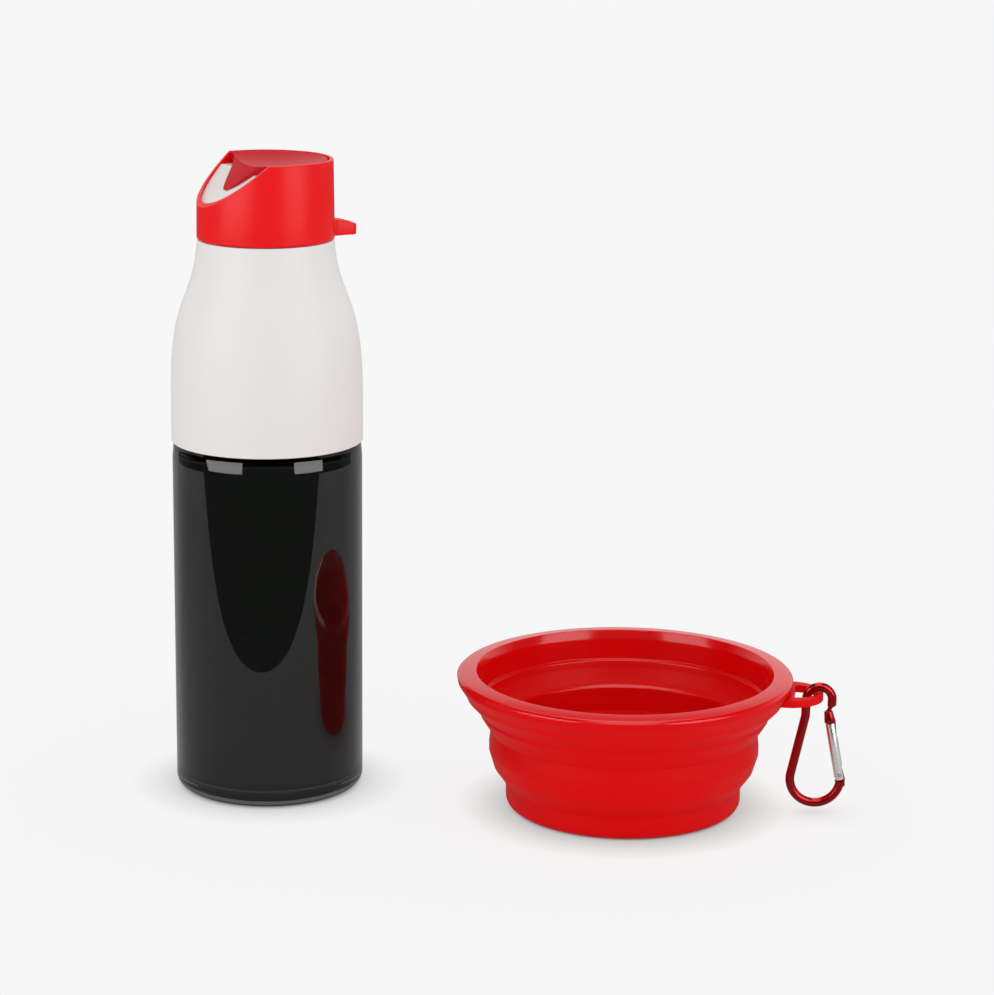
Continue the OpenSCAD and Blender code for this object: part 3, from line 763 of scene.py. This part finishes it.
class BOTTLE_OT_cap(bpy.types.Operator):
    """Red cap: its wall with the sloping mouth, the lug and the screw"""
    bl_idname = "bottle.cap"
    bl_label = "Cap"

    def execute(self, context):
        r = context.scene.bottle_sizes.cap_r / MM
        z, bore, seat = CAP_FOOT, 24.2, 23.1
        path = rounded([
            (bore, z + 0.4), (bore + 0.4, z, 0.3), (r, z, 0.9), (r - 0.4, CAP_TOP, 0.6),
            (bore, CAP_TOP, 0.25), (bore, DECK), (seat, DECK), (seat, DECK - 1),
            (bore, DECK - 2.1)], 5)
        cap = turned("cap", path, steps=144)
        slice_off(cap, SLOPE_TOP, slope_normal(41.5), 0.45)
        join(cap, self.lug(z))
        place(cap, CAP_TURN)
        finish_piece(cap, "cap", ["cap_body"], "red_cap", 40)
        thread = place(ridge("cap_thread", 23.1, 24.5, 0.6, 1.3, 3, 1, 216.45, 30), CAP_TURN)
        finish_piece(thread, "cap", [], "red_cap")
        return {"FINISHED"}

    def lug(self, z):
        """A flat loop that thins towards its end, with every edge rounded."""
        eye_x = 30.9
        plan = rounded([(24.9, -6), (27.1, -5.2, 1), (eye_x, -4.4), (eye_x + 4.4, -4.4, 4.4),
                        (eye_x + 4.4, 4.4, 4.4), (eye_x, 4.4), (27.1, 5.2, 1), (24.9, 6)], 12)
        lug = slab("lug", plan, z, z + 7.4)
        drop = math.atan((6.4 - 4.1) / (35.3 - 26.1))
        slice_off(lug, Vector((26.1, 0, z + 6.4)) * MM,
                  (math.sin(drop), 0, math.cos(drop)))
        cut(lug, bar("eye", 2.4, (eye_x, 0, z - 2), (eye_x, 0, z + 12)))
        return soften(lug, 0.5, 50, 4)


class BOTTLE_OT_insert(bpy.types.Operator):
    """White insert: deck, sloping bed, pouring hole and the axle's ears"""
    bl_idname = "bottle.insert"
    bl_label = "Spout insert"

    def execute(self, context):
        body = bar("insert", 24.15, (0, 0, DECK), (0, 0, 240.4), sides=144)
        cut(body, block("over_deck", (-1, -40, DECK + 2), (79, 40, 270)),
            bed_tool("over_bed", 0))
        for side in (-1, 1):
            y = side * EAR_Y
            join(body, block("ear", (6.7, y - 1.1, DECK + 1), (9.3, y + 1.1, AXLE_Z)),
                 axle_bar("ear_head", 1.7, y - 1.1, y + 1.1))
        cut(body, self.core())
        low, high = self.bore_line(-20, 0.5)
        cut(body, bar("bore", 4.95, low, high, sides=64), self.plug_path(),
            bar("vent_hole", 1.1, (13, 0, DECK - 2), (13, 0, DECK + 4)),
            axle_bar("axle_hole", 1.0, -30, 30))
        for side in (-1, 1):
            y = side * 2.25
            cut(body, bar("air_hole", 0.6, (13, y, DECK - 2), (13, y, DECK + 4)))
        place(body, CAP_TURN)
        finish_piece(body, "cap", ["spout_insert"], "white_insert", 30)
        return {"FINISHED"}

    def bore_line(self, low, high):
        """Two points on the bore's axis, measured from the plug's centre."""
        lean = math.atan((AXLE_Z - PLUG_Z) / (AXLE_X - PLUG_X))
        way = Vector((-math.sin(lean), 0, math.cos(lean)))
        centre = Vector((PLUG_X, 0, PLUG_Z))
        return centre + way * low, centre + way * high

    def plug_path(self):
        """The bore's upper end follows the plug as the lid tilts about its axle."""
        low, high = self.bore_line(0, 0.02)
        ring = bar("plug_path", 5.0, low, high, sides=64)
        edit(ring, "FACE")
        way = (high - low).normalized()
        pick(ring, lambda f: f.normal.dot(way) > 0.99, "faces")
        bpy.ops.mesh.spin(steps=24, angle=math.radians(-40), axis=(0, 1, 0),
                          center=Vector((AXLE_X, 0, AXLE_Z)) * MM)
        done()
        return tidy(ring, None)

    def core(self):
        """Hollow under the bed, with the pouring tube left in it."""
        core = bar("core", 20.4, (0, 0, DECK - 1), (0, 0, DECK + 11), sides=96)
        cut(core, block("core_side", (-6, -40, 0), (60, 40, 300)))
        tool = bed_tool("core_roof", 0)
        place(tool, Matrix.Translation((0, 0, -2 * MM / math.cos(BED_SLOPE))))
        low, high = self.bore_line(-20, 20)
        return cut(core, tool, bar("tube", 6.5, low, high, sides=64))


class BOTTLE_OT_lid(bpy.types.Operator):
    """Red flip lid: dished top, tongue over the mouth and the boss on the axle"""
    bl_idname = "bottle.lid"
    bl_label = "Lid"

    def execute(self, context):
        r, top, low = 23.55, 244.8, 226
        dish, depth = 22.6, 2.1
        sphere = (dish * dish + depth * depth) / (2 * depth)
        hollow = [(dish * k / 16, top - depth + sphere
                   - math.sqrt(sphere * sphere - (dish * k / 16) ** 2)) for k in range(17)]
        path = rounded([(0, low), (r, low), (r, top, 0.35)]
                       + [(*p, 0.5) if i == 0 else tuple(p)
                          for i, p in enumerate(reversed(hollow))], 4)
        lid = turned("lid", path, steps=144)
        combine(lid, self.plan(low), "INTERSECT")
        slice_off(lid, SLOPE_TOP - Vector((0, 0, 0.4 * MM)), slope_normal(48.5), 0.3)
        cut(lid, self.under(low))
        boss = axle_bar("boss", 2.2, -14.7, 14.7)
        cut(boss, block("boss_top", (-20, -20, AXLE_Z), (60, 20, 260)))
        join(lid, boss)
        for side in (-1, 1):
            y = side * EAR_Y
            cut(lid, axle_bar("ear_notch", 2.1, y - 1.5, y + 1.5))
        cut(lid, axle_bar("axle_hole", 1.05, -30, 30))
        place(lid, CAP_TURN)
        finish_piece(lid, "lid", ["flip_lid"], "red_lid", 30)
        return {"FINISHED"}

    def plan(self, low):
        """The lid's outline from above: round behind, with a tongue in front."""
        tip, side = 16.5, 6.3
        flank = curve([(-side, -20), (-side - 0.4, -11), (-tip + 1, -7), (-tip, 0)], 16)
        points = [Vector((40, 40)), Vector((-side, 40))]
        points += [Vector((p.x, -p.y)) for p in flank] + list(reversed(flank))[1:]
        points += [Vector((-side, -40)), Vector((40, -40))]
        return slab("plan", points, low - 1, 250)

    def under(self, low):
        """What lies under the lid: up to the insert's top, and up to the white bed."""
        under = block("under", (-40, -40, low - 2), (40, 40, 240.75))
        roof = bed_tool("roof", 0.3)
        cut(roof, block("behind", (-8, -60, 100), (90, 60, 400)))
        return cut(under, roof)


# ---------------------------------------------------------------- bowl

BOWL_CUTS = (8.4, 15, 29.3, 34.2)
BOWL_OUTER = [
    (0, 0.8), (36, 0.8, 0.4), (37, 0, 0.4), (45.1, 0, 3.5), (45.1, 9.1, 0.6),
    (49.8, 15.6, 1), (50.4, 17.6, 2), (51.7, 21.8, 2), (51.7, 24.8, 2), (51.1, 29.8, 0.8),
    (55.3, 36.5, 0.8), (55.3, 37.8, 0.5), (60.3, 43, 1), (61.2, 45.1, 0.7), (63.8, 49, 1.5),
    (64.2, 51.3, 1), (63.2, 52.3, 0.8)]
BOWL_INNER = [
    (56.9, 53.1, 0.45), (55.7, 50, 6), (54.9, 41.7, 0.3), (53.7, 41.1, 0.4), (53.3, 38.5, 2),
    (52, 34.3), (50.9, 32.4), (50.3, 31.9, 0.3), (49.2, 31.3, 0.4), (49.1, 29.4),
    (49.3, 21.8, 2), (47.5, 15.8, 0.5), (48.1, 14.8, 0.3), (43.3, 8.6, 0.3),
    (42.7, 8.0, 0.4), (42.7, 3.2, 3), (0, 3.2)]


def band(side, low, high):
    """The part of one side of the bowl's outline between two heights, in its own order."""
    found = []
    for a, b in zip(side, side[1:]):
        if low <= a.y <= high:
            found.append(a)
        steps = [z for z in (low, high) if (a.y - z) * (b.y - z) < 0]
        for z in sorted(steps, key=lambda z: abs(z - a.y)):
            found.append(a.lerp(b, (z - a.y) / (b.y - a.y)))
    if low <= side[-1].y <= high:
        found.append(side[-1])
    return found


class BOTTLE_OT_bowl(bpy.types.Operator):
    """Silicone bowl: foot, two folds, middle wall and the rim with its tab"""
    bl_idname = "bottle.bowl"
    bl_label = "Bowl"

    def execute(self, context):
        path = rounded(BOWL_OUTER + BOWL_INNER, 6)
        brink = max(range(len(path)), key=lambda i: (path[i].y, -path[i].x))
        outer, inner = path[:brink + 1], path[brink:]
        names = ("bowl_foot", "bowl_fold_low", "bowl_middle", "bowl_fold_high", "bowl_lip")
        nodes = ("bowl_base", "fold_lower", "bowl_tier", "fold_upper", "bowl_rim")
        edges = (-1, *BOWL_CUTS, 60)
        folds = [BOWL + Vector((0, 0, z)) * MM for z in BOWL_CUTS]
        bodies = ("bowl", ("bowl", "bowl_middle", *folds[:2]), "bowl_middle",
                  ("bowl_middle", "bowl_top", *folds[2:]), "bowl_top")
        for name, node, body, low, high in zip(names, nodes, bodies, edges, edges[1:]):
            piece = turned(name, band(outer, low, high) + band(inner, low, high), BOWL,
                           steps=160)
            slot = "red_rim" if node == "bowl_rim" else "red_silicone"
            finish_piece(piece, body, [node], slot, 40)
        finish_piece(self.tab(), "bowl_top", [], "red_rim", 40)
        return {"FINISHED"}

    def tab(self):
        """Round tab beside the lip, with a wide hole cut off straight near the lip."""
        u, r, hole_u, hole_r, start = 62.6, 13.1, 65.6, 7.9, 58.9
        low, high = 44.9, 47.7
        tab = bar("bowl_tab", r, (u, 0, low), (u, 0, high), sides=96)
        cut(tab, block("tab_root", (20, -30, 30), (start, 30, 60)))
        hole = bar("tab_hole", hole_r, (hole_u, 0, low - 5), (hole_u, 0, high + 5), sides=72)
        cut(hole, block("hole_root", (20, -30, 30), (64.9, 30, 60)))
        cut(tab, hole)
        soften(tab, 0.45, 50, 3)
        turn = Matrix.Rotation(math.radians(-7), 4, "Z")
        return place(tab, Matrix.Translation(BOWL) @ turn)


# ---------------------------------------------------------------- snap hook

GATE_SLANT = math.radians(12)
LOBE = Vector((0, -31.6))
LOBE_R = 9.6
GATE_LINE = LOBE_R - 0.4
KINK_R, KINK_Y, BEND_R = 8, -5.9, 4.9


def hook_place():
    """From the hook's flat, in which x runs across and y up, to where it hangs."""
    return (Matrix.Translation(HOOK_PIVOT) @ Matrix.Rotation(math.radians(1.2), 4, "Y")
            @ Matrix.Rotation(math.radians(90), 4, "X"))


def gate_place():
    """From the gate's own flat, with y up its middle from the rivet, to the hook's."""
    return (Matrix.Translation((0, LOBE.y * MM, 0)) @ Matrix.Rotation(GATE_SLANT, 4, "Z")
            @ Matrix.Translation((GATE_LINE * MM, 0.2 * MM, 0)))


class BOTTLE_OT_hook(bpy.types.Operator):
    """Snap hook: the anodised wire with its nose and flats"""
    bl_idname = "bottle.hook"
    bl_label = "Hook frame"

    def execute(self, context):
        r = context.scene.bottle_sizes.wire_r / MM
        wire = self.wire(r)
        nose = bar("nose", 2.2, (0, 21.1, 0), (0, 25.6, 0), 1.58, sides=40)
        soften(nose, 0.3, 50, 3)
        collar = bar("collar", 1.62, (0, -4.9, 0), (0, -2.0, 0), 2.0, sides=40)
        for piece in (nose, collar):
            place(piece, gate_place())
        swing = bar("swing", 2.83, (0, 0, -5), (0, 0, 5), sides=64)
        join(wire, nose, collar)
        cut(wire, place(swing, gate_place()))
        low = rounded([(-1.3, -3.3), (1.7, -3.3), (2, -2.1, 0.4), (1.5, 3.2, 0.2),
                       (0.9, 3.2, 0.3), (-0.6, 0.9, 0.5), (-1.0, 0, 0.3), (-0.6, -1.3, 0.3),
                       (-1.3, -2, 0.2)], 4)
        high = rounded([(-0.95, 15.2, 0.3), (1.5, 15.2, 0.3), (2.05, 21.2), (1.6, 22.1),
                        (-0.95, 22.1), (-0.95, 18.65), (0.6, 18.65, 0.2), (0.6, 17.35, 0.2),
                        (-0.95, 17.35)], 4)
        for name, path in (("flat_low", low), ("flat_high", high)):
            flat = slab(name, path, -1, 1)
            join(wire, place(flat, gate_place()))
        place(wire, hook_place())
        finish_piece(wire, "hook", ["hook_frame"], "red_anodised", 42)
        return {"FINISHED"}

    def wire(self, r):
        """A ring of vertices led round the hook, from the nose over both bends to the gate."""
        slant, run = self.leg()
        only_none()
        wire = new_mesh("hook_wire", bpy.ops.mesh.primitive_circle_add, vertices=32,
                        radius=r * MM)
        place(wire, Matrix.Translation((BEND_R * MM, -2.1 * MM, 0))
              @ Matrix.Rotation(math.radians(90), 4, "X"))
        edit(wire)
        bpy.ops.mesh.select_all(action="SELECT")
        self.lead((0, 2.1))
        self.swing((0, 0), 180, 40)
        self.lead((0, KINK_Y))
        self.swing((-BEND_R - KINK_R, KINK_Y), -math.degrees(slant), 8)
        self.lead((-run * math.sin(slant), -run * math.cos(slant)))
        lobe = 180 + math.degrees(slant + GATE_SLANT) - 15.5
        self.swing((LOBE.x, LOBE.y), lobe, 56)
        bpy.ops.mesh.edge_face_add()
        bpy.ops.mesh.select_all(action="DESELECT")
        start = Vector((BEND_R, -2.1, 0)) * MM
        pick(wire, lambda v: abs(v.co.y - start.y) < 1e-6 and v.co.x > 0)
        self.neck(start)
        done()
        return tidy(wire, None)

    def neck(self, start):
        """The wire is notched to a neck that leans towards the nose."""
        lean = Vector((-math.sin(math.radians(27)), -math.cos(math.radians(27)), 0))
        for step, size in ((0.25, 0.94), (0.75, 0.62), (0.5, 0.86), (1.9, 1.0)):
            bpy.ops.mesh.extrude_region_move(
                TRANSFORM_OT_translate={"value": lean * step * MM})
            start = start + lean * step * MM
            bpy.ops.transform.resize(value=(size, size, size), center_override=start)
        bpy.ops.mesh.edge_face_add()

    def lead(self, way):
        bpy.ops.mesh.extrude_region_move(
            TRANSFORM_OT_translate={"value": Vector((way[0], way[1], 0)) * MM})

    def swing(self, centre, degrees, steps):
        bpy.ops.mesh.spin(steps=steps, angle=-math.radians(degrees), axis=(0, 0, 1),
                          center=Vector((centre[0], centre[1], 0)) * MM)

    def leg(self):
        """Slant and length of the straight leg between the kink and the large bend."""
        gap = Vector((BEND_R + KINK_R, -LOBE.y + KINK_Y))
        slant = math.asin((LOBE_R + KINK_R) / gap.length) - math.atan2(gap.x, gap.y)
        return slant, math.sqrt(gap.length_squared - (LOBE_R + KINK_R) ** 2)


class BOTTLE_OT_gate(bpy.types.Operator):
    """Snap hook's gate: a bright tube, slotted outwards at both ends"""
    bl_idname = "bottle.gate"
    bl_label = "Hook gate"

    def execute(self, context):
        r = context.scene.bottle_sizes.gate_r / MM
        gate = bar("gate", r, (0, -1.96, 0), (0, 20.65, 0), sides=48)
        cut(gate, bar("gate_bore", 1.5, (0, -3, 0), (0, 22, 0)),
            block("slot_low", (0, -3, -1.15), (3, 3.5, 1.15)),
            block("slot_back", (-3, -3, -1.15), (1, -0.96, 1.15)),
            block("slot_high", (0, 14.9, -1.15), (3, 22, 1.15)))
        soften(gate, 0.1, 50, 2)
        place(gate, gate_place())
        place(gate, hook_place())
        finish_piece(gate, "gate", ["hook_gate"], "polished_gate", 40)
        return {"FINISHED"}


# ---------------------------------------------------------------- carried-over pieces

class BOTTLE_OT_small_parts(bpy.types.Operator):
    """Materials of the seals, the plug, the vent, the pins and the spring"""
    bl_idname = "bottle.small_parts"
    bl_label = "Small parts"

    def execute(self, context):
        slots = {"clear_silicone": ("middle_seal", "cap_seal", "vent_valve", "lid_plug"),
                 "steel_pin": ("lid_axle", "gate_rivet", "gate_nose_pin"),
                 "spring_steel": ("gate_spring",)}
        for slot, names in slots.items():
            for name in names:
                paint(bpy.data.objects[name], slot)
        return {"FINISHED"}


class BOTTLE_PT_panel(bpy.types.Panel):
    """Lists the steps and the settings"""
    bl_idname = "BOTTLE_PT_panel"
    bl_label = "Dog Travel Bottle"
    bl_space_type = "VIEW_3D"
    bl_region_type = "UI"
    bl_category = "Bottle"

    def draw(self, context):
        for group in (context.scene.bottle_sizes, context.scene.bottle_colours):
            box = self.layout.box()
            for name in group.__annotations__:
                box.prop(group, name)
        for step in STEPS_IN_ORDER:
            self.layout.operator(step.bl_idname)


STEPS_IN_ORDER = (BOTTLE_OT_stage, BOTTLE_OT_vessel, BOTTLE_OT_shell, BOTTLE_OT_cap,
                  BOTTLE_OT_insert, BOTTLE_OT_lid, BOTTLE_OT_bowl, BOTTLE_OT_hook,
                  BOTTLE_OT_gate, BOTTLE_OT_small_parts)
CLASSES = (BottleSizes, BottleColours, *STEPS_IN_ORDER, BOTTLE_PT_panel)


def register():
    for cls in CLASSES:
        bpy.utils.register_class(cls)
    bpy.types.Scene.bottle_sizes = PointerProperty(type=BottleSizes)
    bpy.types.Scene.bottle_colours = PointerProperty(type=BottleColours)


def unregister():
    del bpy.types.Scene.bottle_colours
    del bpy.types.Scene.bottle_sizes
    for cls in reversed(CLASSES):
        bpy.utils.unregister_class(cls)


def main():
    register()
    make_looks(bpy.context.scene.bottle_colours)
    for step in STEPS_IN_ORDER:
        group, name = step.bl_idname.split(".")
        getattr(getattr(bpy.ops, group), name)()
    only_none()


if __name__ == "__main__":
    main()
